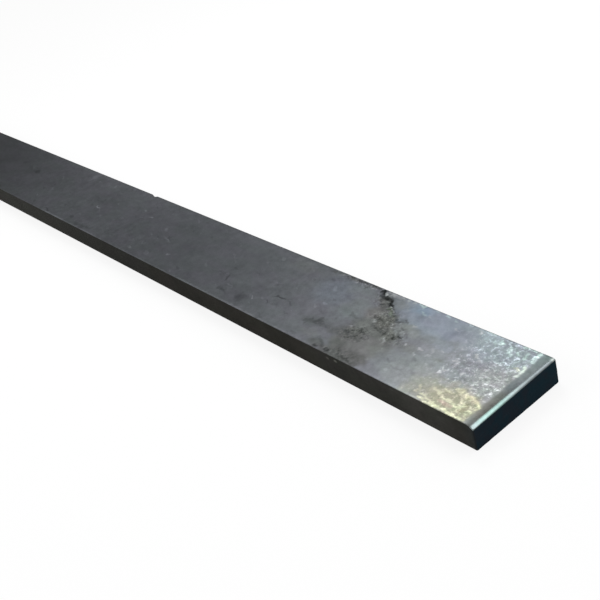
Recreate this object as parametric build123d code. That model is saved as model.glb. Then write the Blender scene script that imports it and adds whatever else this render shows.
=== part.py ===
from build123d import *
import os

# Hot-rolled steel flat bar, cropped to length in a shear. Millimetres.
# X runs along the bar, Y across its width and Z up through its thickness.
# The origin is the middle of the underside.

# Stock size
length = 1000.0
width = 40.0
thickness = 10.0
rolled_edge_radius = 0.3  # the four long corners, as the mill's rolls leave them

# Cropped end. The blade is raked, so it drags the face down further at one side of the bar
# than at the other. Each pair holds the deep side, at -Y, and the shallow side, at +Y.
roll_in_reach = (4.2, 3.6)  # how far back from the cut the face starts to dip
lip_reach = (1.35, 1.2)  # how far back from the cut the tighter lip starts
lip_drop = (0.46, 0.09)  # how far the face has dipped where the lip starts
roll_in_depth = (1.40, 0.55)  # how far it has dipped at the cut itself
torn_height = 0.45 * thickness  # the torn band, under the band that the blade wipes smooth
torn_setback = 0.15  # how far the torn band leans in by the other face
upright_corner_radius = 0.35  # where the cut meets the bar's narrow edges

# Knock in the long top corner at +Y
nick_from_end = 250.5
nick_depth = 0.9
nick_steep_run = 1.0  # its wall towards the near end
nick_shallow_run = 4.6  # its wall towards the far end

spare = 5.0  # how far a cutting shape runs past the metal that it takes away


def roll_in_outline(side):
    """What the roll-in at the +X end takes off the top, seen across the width, at one side."""
    end = length / 2
    dip = (end - roll_in_reach[side], thickness)
    lip = (end - lip_reach[side], thickness - lip_drop[side])
    arris = (end, thickness - roll_in_depth[side])
    roll_in = TangentArc(dip, lip, tangent=(1, 0))
    tight_lip = TangentArc(lip, arris, tangent=roll_in % 1)
    above = Polyline(
        arris,
        (end + spare, arris[1]),
        (end + spare, thickness + spare),
        (dip[0], thickness + spare),
        dip,
    )
    return make_face(Wire([roll_in, tight_lip, *above.edges()]))


def roll_in_waste():
    """What the roll-in takes off, ruled from its outline at one side of the bar to the other."""
    deep = Plane.XZ.offset(width / 2) * roll_in_outline(0)
    shallow = Plane.XZ.offset(-width / 2) * roll_in_outline(1)
    return loft([deep, shallow], ruled=True)


def torn_waste():
    """The thin wedge lost where the metal tears instead of being cut."""
    end = length / 2
    lean = torn_setback / torn_height
    wedge = Polyline(
        (end, torn_height),
        (end - torn_setback - lean * spare, -spare),
        (end + spare, -spare),
        (end + spare, torn_height),
        close=True,
    )
    return extrude(Plane.XZ * make_face(wedge), amount=width, both=True)


def cropped_length():
    """Square-cornered bar with both ends as the shear leaves them.

    One stroke dips the top of the piece it leaves and the underside of the piece it takes, so
    the second end is the first one given half a turn about the bar's middle.
    """
    square_bar = Pos(0, 0, thickness / 2) * Box(length, width, thickness)
    half_turn = Location((0, 0, thickness), (0, 180, 0))
    for waste in (roll_in_waste(), torn_waste()):
        square_bar = square_bar - waste - half_turn * waste
    return square_bar


def narrow_side_edges(bar):
    """The edges round the bar's two narrow sides: (the upright ones at the cuts, the others)."""
    edges = bar.faces().filter_by(Plane.XZ).edges()
    upright = [edge for edge in edges if abs((edge % 0.5).Z) > 0.95 and edge.length > thickness / 4]
    others = [edge for edge in edges if edge not in upright]
    return upright, others


def rounded(bar):
    """The bar with its upright corners rounded, then its long corners, right round the roll-in."""
    upright, _ = narrow_side_edges(bar)
    bar = fillet(upright, upright_corner_radius)
    _, along = narrow_side_edges(bar)
    return fillet(along, rolled_edge_radius)


def nick():
    """The wedge knocked out of the long top corner: a steep wall and a shallow one."""
    corner = Plane(
        origin=(length / 2 - nick_from_end, width / 2, thickness),
        x_dir=(1, 0, 0),
        z_dir=(0, 1, -1),  # so that its own Y points diagonally into the bar
    )
    skin = rolled_edge_radius * (2**0.5 - 1)  # how far the rounding lies under a sharp corner
    wedge = Polyline(
        (-nick_shallow_run, skin),
        (0, skin + nick_depth),
        (nick_steep_run, skin),
        (nick_steep_run, -skin),
        (-nick_shallow_run, -skin),
        close=True,
    )
    return extrude(corner * make_face(wedge), amount=nick_depth * 3, both=True)


flat_bar = rounded(cropped_length()) - nick()
flat_bar.label = "flat_bar"

os.makedirs("parts", exist_ok=True)
export_step(flat_bar, "parts/flat_bar.step")
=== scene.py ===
import math

import bpy
import numpy as np
from mathutils import Matrix, Vector


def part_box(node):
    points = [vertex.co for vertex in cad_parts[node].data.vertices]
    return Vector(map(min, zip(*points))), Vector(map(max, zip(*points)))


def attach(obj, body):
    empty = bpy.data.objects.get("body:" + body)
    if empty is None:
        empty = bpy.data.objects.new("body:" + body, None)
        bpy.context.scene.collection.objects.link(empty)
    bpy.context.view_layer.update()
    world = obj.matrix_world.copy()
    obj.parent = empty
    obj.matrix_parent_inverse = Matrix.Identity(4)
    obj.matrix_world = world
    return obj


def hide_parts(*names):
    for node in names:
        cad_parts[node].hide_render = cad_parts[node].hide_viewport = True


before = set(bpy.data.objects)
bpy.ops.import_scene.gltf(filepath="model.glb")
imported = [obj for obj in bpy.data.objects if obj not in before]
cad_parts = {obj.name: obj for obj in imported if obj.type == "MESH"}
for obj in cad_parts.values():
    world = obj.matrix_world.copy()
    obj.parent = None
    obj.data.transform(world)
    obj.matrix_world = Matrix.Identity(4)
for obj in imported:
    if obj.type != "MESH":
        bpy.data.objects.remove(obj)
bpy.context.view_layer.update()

# ---------------------------------------------------------------------------------------------
# Sizes, in metres. The bar's length, width and thickness come from the frame.
# ---------------------------------------------------------------------------------------------

MM = 0.001
_, bar_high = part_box("flat_bar")
HALF_LENGTH = bar_high.x
HALF_WIDTH = bar_high.y
THICKNESS = bar_high.z

ROLLED_EDGE = 0.3 * MM  # radius of the four long corners
UPRIGHT_CORNER = 0.35 * MM  # radius where the cut meets the narrow sides

# The sheared end dips more at the -Y side than at the +Y side: (-Y side, +Y side).
ROLL_IN_REACH = np.array((4.2, 3.6)) * MM
LIP_REACH = np.array((1.35, 1.2)) * MM
LIP_DROP = np.array((0.46, 0.09)) * MM
ROLL_IN_DEPTH = np.array((1.40, 0.55)) * MM
TORN_HEIGHT = 0.45 * THICKNESS
TORN_SETBACK = 0.15 * MM
TORN_BORDER_SWAY = 0.35 * MM  # how far the torn band's ragged border goes up and down
TORN_BORDER_BLUR = 0.25 * MM
TORN_GRAIN_DEPTH = 0.05 * MM
SCORE_DEPTH = 0.012 * MM  # of the upright scores in the band that the blade wipes smooth

# The nick in the long top corner at +Y. Its shallow wall lies towards the far end.
NICK_FROM_END = 252.9 * MM
NICK_DEPTH = 0.95 * MM
NICK_STEEP_RUN = 2.2 * MM
NICK_SHALLOW_RUN = 3.2 * MM

# How closely the mesh's rings stand, in millimetres: (from the +X end, how far apart).
RINGS = (
    (0, 0.08),
    (3, 0.42),
    (95, 0.44),
    (150, 1.40),
    (244, 1.80),
    (246, 0.40),
    (256, 0.40),
    (258, 1.80),
    (400, 3.20),
    (900, 9.00),
    (996, 0.60),
    (1000, 0.10),
)

# How many steps each part of the section is divided into, and how many a cut's face is, from its
# outline to its middle.
TOP_STEPS = 96
BOTTOM_STEPS = 24
SIDE_STEPS = 8
CORNER_STEPS = 5
CAP_RINGS = 14


# ---------------------------------------------------------------------------------------------
# Random hills, and soft marks placed one by one
# ---------------------------------------------------------------------------------------------


def smooth(low, high, value):
    """0 below low, 1 above high, and an S-shaped cubic between them."""
    t = np.clip((value - low) / (high - low), 0.0, 1.0)
    return t * t * (3.0 - 2.0 * t)


def hills(u, v, size, seed):
    """Smooth random hills about size across, from -1 to 1: random heights on a square lattice,
    blended between its corners by an S-shaped cubic. The lattice repeats after count squares."""
    count = 256
    lattice = np.random.default_rng(seed).uniform(-1.0, 1.0, (count, count))
    column, row = np.floor(u / size).astype(int), np.floor(v / size).astype(int)
    s, t = smooth(0.0, 1.0, u / size - column), smooth(0.0, 1.0, v / size - row)
    corner = [[lattice[(column + i) % count, (row + j) % count] for j in (0, 1)] for i in (0, 1)]
    low = corner[0][0] * (1.0 - s) + corner[1][0] * s
    high = corner[0][1] * (1.0 - s) + corner[1][1] * s
    return low * (1.0 - t) + high * t


def rough(u, v, size, seed):
    """Hills with smaller ones on them: three sizes, each half the last in width and in height,
    and together again from -1 to 1."""
    summed = sum(hills(u, v, size / 2**k, seed + k) / 2**k for k in range(3))
    return summed / (1 + 1 / 2 + 1 / 4)


def patch(u, v, place, reach, turn=0.0, core=0.0):
    """1 inside core of an ellipse and 0 outside it. reach is its two half widths, and turn is how
    far it is turned, in degrees, from lying along the bar."""
    du, dv = u - place[0], v - place[1]
    c, s = math.cos(math.radians(turn)), math.sin(math.radians(turn))
    along, over = (du * c + dv * s) / reach[0], (dv * c - du * s) / reach[1]
    return 1.0 - smooth(core, 1.0, np.hypot(along, over))


def line(u, v, points, width):
    """1 on a bent line, falling to 0 half a width away from it: how near a point is to the
    nearest place on any of the line's straight pieces."""
    away = np.full(np.shape(u), np.inf)
    for (u0, v0), (u1, v1) in zip(points, points[1:]):
        run = (u1 - u0, v1 - v0)
        share = ((u - u0) * run[0] + (v - v0) * run[1]) / (run[0] ** 2 + run[1] ** 2)
        share = np.clip(share, 0.0, 1.0)
        away = np.minimum(away, np.hypot(u - u0 - share * run[0], v - v0 - share * run[1]))
    return 1.0 - smooth(0.0, width / 2.0, away)


def stretch(u, come, go):
    """1 along a stretch of the bar and 0 off it. It comes in between the two places of come, and
    goes out between those of go."""
    return smooth(*come, u) * (1.0 - smooth(*go, u))


def by_place(places, table):
    """What a table of (place, value) gives at each place, changing evenly between its rows."""
    return np.interp(places, *np.array(table).T)


def by_width(v, table):
    """The colour that a table of (Y, colour) gives at each Y, evenly changing between its rows."""
    places = [place for place, _ in table]
    parts = [np.interp(v, places, [tint[i] for _, tint in table]) for i in range(3)]
    return np.stack(parts, axis=-1)


def laid(colour, tint, share):
    """A colour with another laid over it, as much as share says."""
    return colour * (1.0 - share[..., None]) + np.array(tint) * share[..., None]


# ---------------------------------------------------------------------------------------------
# The skin of the bar
# ---------------------------------------------------------------------------------------------


def section():
    """The bar's rolled section, walked round once: (y, z, outward y, outward z) of each point.

    A rectangle of the bar's width and thickness whose corners are quarter circles. Each side is
    evenly divided; on a corner the outward direction turns evenly through a right angle.
    """
    flat_y, flat_z = HALF_WIDTH - ROLLED_EDGE, THICKNESS / 2 - ROLLED_EDGE
    sides = (
        (0.5, TOP_STEPS, (flat_y, flat_z), (-flat_y, flat_z)),
        (1.0, SIDE_STEPS, (-flat_y, flat_z), (-flat_y, -flat_z)),
        (1.5, BOTTOM_STEPS, (-flat_y, -flat_z), (flat_y, -flat_z)),
        (2.0, SIDE_STEPS, (flat_y, -flat_z), (flat_y, flat_z)),
    )
    centre, turn = [], []
    for half_turns, steps, start, stop in sides:
        along = np.linspace(0.0, 1.0, steps + 1)[:, None]
        centre.append(np.array(start) * (1 - along) + np.array(stop) * along)
        turn.append(np.full(steps + 1, half_turns * math.pi))
        centre.append(np.repeat([stop], CORNER_STEPS - 1, axis=0))
        turn.append((half_turns + 0.5 * np.arange(1, CORNER_STEPS) / CORNER_STEPS) * math.pi)
    centre, turn = np.concatenate(centre), np.concatenate(turn)
    out_y, out_z = np.cos(turn), np.sin(turn)
    y = centre[:, 0] + ROLLED_EDGE * out_y
    z = centre[:, 1] + ROLLED_EDGE * out_z + THICKNESS / 2
    return y, z, out_y, out_z


def ring_places():
    """X of each ring, from the +X end to the other. Adding up how many steps fit in each twentieth
    of a millimetre, by RINGS, tells how many steps from the end each place is, and the rings stand
    where that is a whole number, or nearly."""
    fine_count = 20001
    fine = np.linspace(0.0, 2 * HALF_LENGTH, fine_count)
    steps = np.diff(fine) / by_place(fine[1:], np.array(RINGS) * MM)
    steps = np.concatenate(([0.0], np.cumsum(steps)))
    count = int(round(steps[-1]))
    return HALF_LENGTH - np.interp(np.linspace(0.0, steps[-1], count + 1), steps, fine)


def arc_drop(along, run, drop, slope):
    """How far a circular arc has dropped after going along, if it starts at that slope and comes
    down by drop over run, and the slope that it ends at."""
    chord = np.hypot(run, drop)
    turn = 2.0 * (np.arctan2(drop, run) - slope)
    radius = chord / (2.0 * np.sin(turn / 2.0))
    angle = np.arcsin(np.clip(along / radius + np.sin(slope), -1.0, 1.0))
    return radius * (np.cos(slope) - np.cos(angle)), slope + turn


def across(pair, y):
    """A value that changes evenly over the width, from the first of a pair at -Y to the second."""
    side = np.clip((y + HALF_WIDTH) / (2 * HALF_WIDTH), 0.0, 1.0)
    return pair[0] * (1 - side) + pair[1] * side


def roll_in_drop(from_cut, y):
    """How far the face has dipped at this distance from the cut: a wide arc that leaves the face
    level, then a tighter one that runs on from it to the cut."""
    pairs = (ROLL_IN_REACH, LIP_REACH, LIP_DROP, ROLL_IN_DEPTH)
    reach, lip, lip_drop, depth = (across(pair, y) for pair in pairs)
    wide, slope = arc_drop(np.clip(reach - from_cut, 0.0, reach - lip), reach - lip, lip_drop, 0.0)
    tight, _ = arc_drop(np.clip(lip - from_cut, 0.0, lip), lip, depth - lip_drop, slope)
    return wide + np.where(from_cut < lip, tight, 0.0)


def torn_share(y, z):
    """1 in the torn band of the cut and 0 in the wiped one; the border between them is ragged."""
    border = TORN_HEIGHT + TORN_BORDER_SWAY * rough(y, 0.0 * y, 3.0 * MM, seed=40)
    return 1.0 - smooth(-TORN_BORDER_BLUR, TORN_BORDER_BLUR, z - border)


def cut_depth(y, z):
    """How far the cut face lies behind its own plane: upright scores in the wiped band, which are
    hills drawn out to many times their width, and in the torn band a lean down to the other face
    with a grainy surface."""
    drawn_out = 12.0
    torn = torn_share(y, z)
    scores = SCORE_DEPTH * (1.0 + rough(y, z / drawn_out, 0.5 * MM, seed=41))
    lean = TORN_SETBACK * np.clip(1.0 - z / TORN_HEIGHT, 0.0, 1.0)
    grain = TORN_GRAIN_DEPTH * (1.0 + rough(y, z, 0.9 * MM, seed=44))
    return scores * (1.0 - torn) + (lean + grain) * torn


def cropped(x, y, z):
    """Moves the points of the plain rolled bar to where the shear leaves them at the +X end.

    Near the cut the upper face goes down by the roll-in, and the narrow sides come in along a
    quarter circle. The section keeps its rounded corners there, because what lies between them is
    squeezed evenly to fit. The cut's own depth fades out over the upright corners.
    """
    from_cut = HALF_LENGTH - x
    drop = roll_in_drop(from_cut, y)
    z = z - drop * np.clip((z - ROLLED_EDGE) / (THICKNESS - 2 * ROLLED_EDGE), 0.0, 1.0)
    into = np.clip(UPRIGHT_CORNER - from_cut, 0.0, UPRIGHT_CORNER)
    inset = UPRIGHT_CORNER - np.sqrt(UPRIGHT_CORNER**2 - into**2)
    y = y - inset * np.clip(y / (HALF_WIDTH - ROLLED_EDGE), -1.0, 1.0)
    x = x - cut_depth(y, z) * (1.0 - smooth(0.0, 2 * UPRIGHT_CORNER, from_cut))
    return x, y, z


def nicked(x, y, z):
    """Pushes the long top corner at +Y in, diagonally, to the two straight walls of the nick."""
    along = x - (HALF_LENGTH - NICK_FROM_END)
    from_corner = (HALF_WIDTH - y + THICKNESS - z) / math.sqrt(2.0)
    up_the_wall = np.where(along < 0.0, -along / NICK_SHALLOW_RUN, along / NICK_STEEP_RUN)
    wall = NICK_DEPTH * (1.0 - up_the_wall)
    skin = ROLLED_EDGE * (math.sqrt(2.0) - 1.0)
    push = np.where(wall > 0.0, np.clip(wall + skin - from_corner, 0.0, None), 0.0) / math.sqrt(2.0)
    return y - push, z - push


# ---------------------------------------------------------------------------------------------
# Marks on the upper face. Places are (from the cut, Y) in millimetres.
# ---------------------------------------------------------------------------------------------

SCALE = (0.098, 0.103, 0.112)
# The narrow sides' colours are painted shade: the scale as a dark, unlit copy.
SHADED_SIDE = (0.0235, 0.0232, 0.0205)
SIDE_BY_CUT = (0.0225, 0.0250, 0.0235)
SIDE_BROWN = (0.0243, 0.0230, 0.0193)
SIDE_CORNER = (0.0110, 0.0130, 0.0160)
RIM = (0.058, 0.060, 0.052)

# The wiped band over the roll-in and the burnished lip, whose colours change over the width:
# (Y, colour). The lip's colours are partly its burnish and partly a painted highlight and
# reflection: cyan-white over the -Y half, dimmer over the +Y half and whitest at the +Y corner.
BAND = (
    (-18.0, (0.098, 0.106, 0.101)),
    (-14.0, (0.088, 0.086, 0.079)),
    (-8.0, (0.086, 0.088, 0.082)),
    (-3.0, (0.085, 0.091, 0.087)),
    (1.0, (0.092, 0.104, 0.110)),
    (5.0, (0.112, 0.124, 0.130)),
    (10.0, (0.120, 0.137, 0.139)),
    (15.0, (0.112, 0.138, 0.136)),
    (19.0, (0.124, 0.155, 0.155)),
)
LIP_BURNISH_AND_HIGHLIGHT = (
    (-19.0, (0.278, 0.343, 0.340)),
    (-15.0, (0.259, 0.367, 0.349)),
    (-6.0, (0.232, 0.335, 0.320)),
    (0.0, (0.261, 0.311, 0.315)),
    (6.0, (0.194, 0.223, 0.232)),
    (10.0, (0.187, 0.216, 0.224)),
    (14.0, (0.213, 0.245, 0.254)),
    (18.2, (0.192, 0.220, 0.230)),
    (18.9, (0.400, 0.425, 0.415)),
    (19.6, (0.340, 0.370, 0.370)),
)

# How wide the darker line along the arris is, painted where the highlight stops: (Y, width).
LIP_EDGE_SHADE_WIDTH = ((-18.0, 0.30), (-10.0, 0.50), (0.0, 0.65), (8.0, 0.80))

# Where the narrow sides are brown: they turn so between the first two places, and back between
# the others. Then how far from a cut their greener colour and their dark corner go out.
SIDE_BROWN_STRETCH = ((70.0, 90.0), (190.0, 210.0))
SIDE_BY_CUT_FADE = (0.5, 6.0)
SIDE_CORNER_FADE = (0.0, 1.5)

# How far the narrow sides' finish runs round the long corners: how steeply the skin faces up or
# down where it starts to give way, and where it is gone, each (at -Y, at +Y).
SIDE_GIVES_WAY = (0.25, 0.10)
SIDE_GONE = (0.75, 0.45)

# How light the scale and the narrow sides are along the bar: (from the cut, times their colour).
# On the scale, the dip from 340 to 440 mm is painted shade that carries the light's falloff on
# towards the far end; on the sides it sets how light their painted shade is.
SCALE_AND_SHADE_DRIFT = (
    (0, 1.0),
    (205, 1.0),
    (245, 1.12),
    (310, 1.12),
    (340, 0.96),
    (370, 0.82),
    (400, 0.68),
    (440, 0.60),
    (520, 0.78),
    (600, 0.95),
    (700, 0.88),
    (820, 1.02),
    (1000, 0.95),
)
SIDE_SHADE_DRIFT = (
    (0, 1.0),
    (8, 1.05),
    (15, 1.42),
    (28, 1.42),
    (38, 1.07),
    (70, 0.97),
    (84, 0.92),
    (96, 0.75),
    (112, 0.82),
    (160, 0.75),
    (230, 0.74),
    (264, 0.78),
    (290, 0.96),
    (310, 1.0),
    (330, 1.06),
    (600, 0.95),
    (1000, 1.0),
)

# How light the scale is over the width, once the marks by the cut have faded out: (Y, times its
# colour).
WIDTH_DRIFT = ((-20, 0.92), (-13, 0.93), (0, 0.95), (7, 0.96), (14, 1.02), (20, 1.07))
WIDTH_DRIFT_START = (100.0, 140.0)

# The lighter line along the -Y rim, partly wear and partly a painted highlight on the rolled
# corner: where it comes in, as distances from the bar's middle, and how much lighter it is: (from
# the cut, lighter).
RIM_WEAR_AND_HIGHLIGHT_Y = (19.0, 19.6)
RIM_WEAR_AND_HIGHLIGHT = (
    (64, 0.3),
    (78, 0.2),
    (92, 0.2),
    (97, 0.9),
    (102, 0.9),
    (106, 0.5),
    (170, 0.5),
    (185, 0.3),
    (200, 0.2),
    (245, 0.3),
    (262, 0.3),
    (267, 0.15),
    (271, 0.7),
    (302, 0.7),
    (308, 0.1),
    (1000, 0.3),
)

# The dirt along the +Y rim: between which Y it comes in, where along the bar it comes in, and
# where most of it goes out again.
RIM_DIRT_Y = (17.7, 19.0)
RIM_DIRT_START = (76.0, 84.0)
RIM_DIRT_END = (98.0, 130.0)

# How far the places at which marks are looked up are pushed about.
STAIN_PUSH = 1.8
BROKEN_PUSH = 1.6
CRUST_PUSH = 3.0

# Wide soft stains in the scale: (place, half widths, turn, full core, colour, strength).
STAINS = (
    # the lighter end: partly worn scale, partly a painted highlight that spreads the lamp's glare
    # by the cut
    ((0.0, 0.0), (57.0, 90.0), 0.0, 0.66, (0.125, 0.133, 0.141), 1.0),
    ((0.0, 0.0), (21.0, 60.0), 0.0, 0.60, (0.160, 0.166, 0.168), 1.0),
    # colder towards +Y, with blue and lilac heat tints
    ((50.0, 19.0), (26.0, 15.0), 0.0, 0.55, (0.148, 0.166, 0.194), 1.0),
    ((18.0, 19.0), (25.0, 17.0), 0.0, 0.50, (0.170, 0.192, 0.208), 1.0),
    ((26.0, 18.5), (6.5, 5.0), 0.0, 0.35, (0.212, 0.250, 0.268), 0.9),
    ((58.5, 17.0), (6.5, 5.0), -10.0, 0.20, (0.142, 0.176, 0.222), 1.0),
    ((84.0, 5.0), (9.0, 12.0), 0.0, 0.30, (0.114, 0.122, 0.129), 0.9),
    ((99.0, 9.0), (15.0, 12.0), 0.0, 0.30, (0.115, 0.124, 0.145), 0.9),
    # yellowed ground in the -Y corner of the end, paler and greener beyond it
    ((27.5, -14.5), (12.5, 9.0), 0.0, 0.40, (0.151, 0.157, 0.136), 0.85),
    ((13.0, -15.0), (17.5, 9.8), 0.0, 0.40, (0.150, 0.149, 0.113), 1.0),
    ((40.0, -12.0), (10.0, 9.0), 0.0, 0.40, (0.128, 0.139, 0.140), 0.8),
    # dark, olive ground where scale has come away
    ((65.0, -6.0), (16.0, 16.0), 0.0, 0.55, (0.086, 0.089, 0.087), 0.95),
    ((86.0, 0.0), (8.0, 6.0), 0.0, 0.30, (0.103, 0.115, 0.120), 0.7),
    ((90.0, -8.0), (10.0, 4.5), -8.0, 0.40, (0.080, 0.088, 0.090), 0.7),
    ((73.5, 7.5), (6.5, 7.0), 30.0, 0.30, (0.099, 0.098, 0.095), 0.8),
    ((66.0, 5.0), (8.0, 5.0), 26.0, 0.40, (0.072, 0.073, 0.069), 1.0),
    ((58.5, 0.0), (4.8, 3.8), 20.0, 0.30, (0.080, 0.083, 0.078), 0.8),
    ((49.5, -2.2), (5.5, 3.4), 8.0, 0.30, (0.088, 0.093, 0.094), 0.9),
    ((72.5, -6.5), (7.0, 4.5), -10.0, 0.40, (0.064, 0.068, 0.064), 0.95),
    ((72.5, -13.0), (7.0, 4.0), 30.0, 0.30, (0.072, 0.075, 0.073), 0.8),
    ((60.0, -17.0), (8.5, 5.5), -12.0, 0.45, (0.060, 0.062, 0.060), 0.9),
    ((70.0, -18.0), (12.0, 4.0), 0.0, 0.50, (0.060, 0.062, 0.060), 0.8),
    ((80.5, -18.0), (5.0, 2.6), 0.0, 0.30, (0.074, 0.077, 0.077), 0.8),
    ((75.5, 13.5), (6.5, 4.0), 36.0, 0.30, (0.062, 0.065, 0.062), 0.9),
    # smaller darker and lighter places, laid over the others
    ((33.0, -2.2), (2.8, 1.8), 0.0, 0.20, (0.112, 0.118, 0.114), 0.6),
    ((19.0, -8.0), (5.0, 3.0), 0.0, 0.30, (0.182, 0.186, 0.164), 0.6),
    ((56.0, 6.5), (5.0, 4.5), 0.0, 0.30, (0.132, 0.140, 0.141), 0.9),
    ((46.0, -1.5), (4.5, 3.0), 0.0, 0.30, (0.100, 0.104, 0.104), 0.7),
    ((33.5, -7.0), (6.0, 4.0), 0.0, 0.30, (0.132, 0.138, 0.138), 0.6),
    ((68.5, 15.8), (5.5, 4.0), 0.0, 0.40, (0.134, 0.142, 0.152), 0.85),
    ((90.0, 14.5), (8.0, 6.0), 0.0, 0.40, (0.120, 0.130, 0.138), 0.6),
    ((125.0, 15.0), (12.0, 5.0), 0.0, 0.30, (0.112, 0.118, 0.122), 0.8),
    ((79.0, -8.5), (6.5, 4.5), 0.0, 0.30, (0.070, 0.076, 0.075), 0.8),
    ((87.0, -14.5), (7.5, 3.2), 0.0, 0.30, (0.114, 0.121, 0.124), 0.75),
    ((72.0, -1.0), (3.2, 2.6), 0.0, 0.30, (0.112, 0.116, 0.115), 0.8),
    ((50.5, 13.0), (5.0, 6.0), 0.0, 0.30, (0.136, 0.152, 0.176), 0.7),
    ((51.5, 5.0), (4.0, 3.0), 0.0, 0.30, (0.140, 0.147, 0.150), 0.7),
    ((51.5, -6.5), (4.0, 3.0), 0.0, 0.30, (0.132, 0.139, 0.142), 0.2),
    ((34.5, 13.5), (5.5, 7.0), 0.0, 0.30, (0.138, 0.152, 0.172), 0.6),
    ((36.5, 5.2), (7.0, 3.8), 0.0, 0.30, (0.134, 0.148, 0.166), 0.7),
    ((38.8, 10.8), (3.8, 3.6), 0.0, 0.30, (0.112, 0.125, 0.148), 0.8),
    ((30.3, 16.3), (3.0, 2.6), 0.0, 0.30, (0.138, 0.160, 0.176), 0.7),
    ((45.0, 1.8), (3.4, 2.6), 0.0, 0.30, (0.100, 0.107, 0.113), 0.8),
    ((56.2, 13.0), (4.0, 3.2), 0.0, 0.30, (0.114, 0.130, 0.152), 0.6),
    ((57.4, 4.0), (2.8, 2.4), 0.0, 0.30, (0.124, 0.132, 0.133), 0.6),
)

# Where scale has come away and left pitted, crumbly ground: (place, half widths, turn, how
# broken).
BROKEN = (
    ((66.0, 5.5), (11.0, 8.0), 25.0, 1.0),
    ((57.0, 0.0), (9.0, 6.0), 15.0, 0.8),
    ((71.0, -6.0), (11.0, 7.0), -12.0, 0.8),
    ((65.0, -17.5), (14.0, 4.0), -6.0, 0.4),
    ((76.0, 14.0), (8.0, 6.0), 30.0, 0.8),
    ((95.0, 19.3), (19.0, 3.4), 0.0, 1.0),
)

# The light speckles: between which distances from the cut they go out, and a place that has few.
SPECKLE_FADE = (9.0, 44.0)
FEW_SPECKLES = ((5.6, -9.6), (2.6, 2.4))

# The crust in the -Y corner of the end.
CRUST = ((13.5, -14.7), (19.5, 9.9))

# Where the scale is smoother: a patch of it, and a stretch of the bar.
CALM_PATCH = ((42.0, 13.0), (16.0, 9.0))
CALM_STRETCH = ((125.0, 150.0), (195.0, 215.0))

# How deep the marks go into the face.
TEAR_DEPTH = 0.09
SCRAPE_DEPTH = 0.012
PIT_DEPTH = 0.05
SPECKLE_DEPTH = 0.015

# Colours of the strokes, and of what lies in the broken ground and in the crust.
CRUMB = (0.122, 0.125, 0.118)
BLACK_AND_SHADOW = (0.012, 0.013, 0.013)
SOOT = (0.040, 0.043, 0.043)
MOSS = (0.085, 0.098, 0.078)
CREAM = (0.338, 0.338, 0.243)
STRAW = (0.310, 0.302, 0.205)
BROWN = (0.120, 0.110, 0.078)
PINK = (0.205, 0.150, 0.135)
# FROST_AND_GLINT and MILK_AND_GLINT are partly pale flecks of bare metal and partly painted glints.
FROST_AND_GLINT = (0.310, 0.382, 0.372)
MILK_AND_GLINT = (0.352, 0.392, 0.362)
SILVER = (0.265, 0.275, 0.280)

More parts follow.
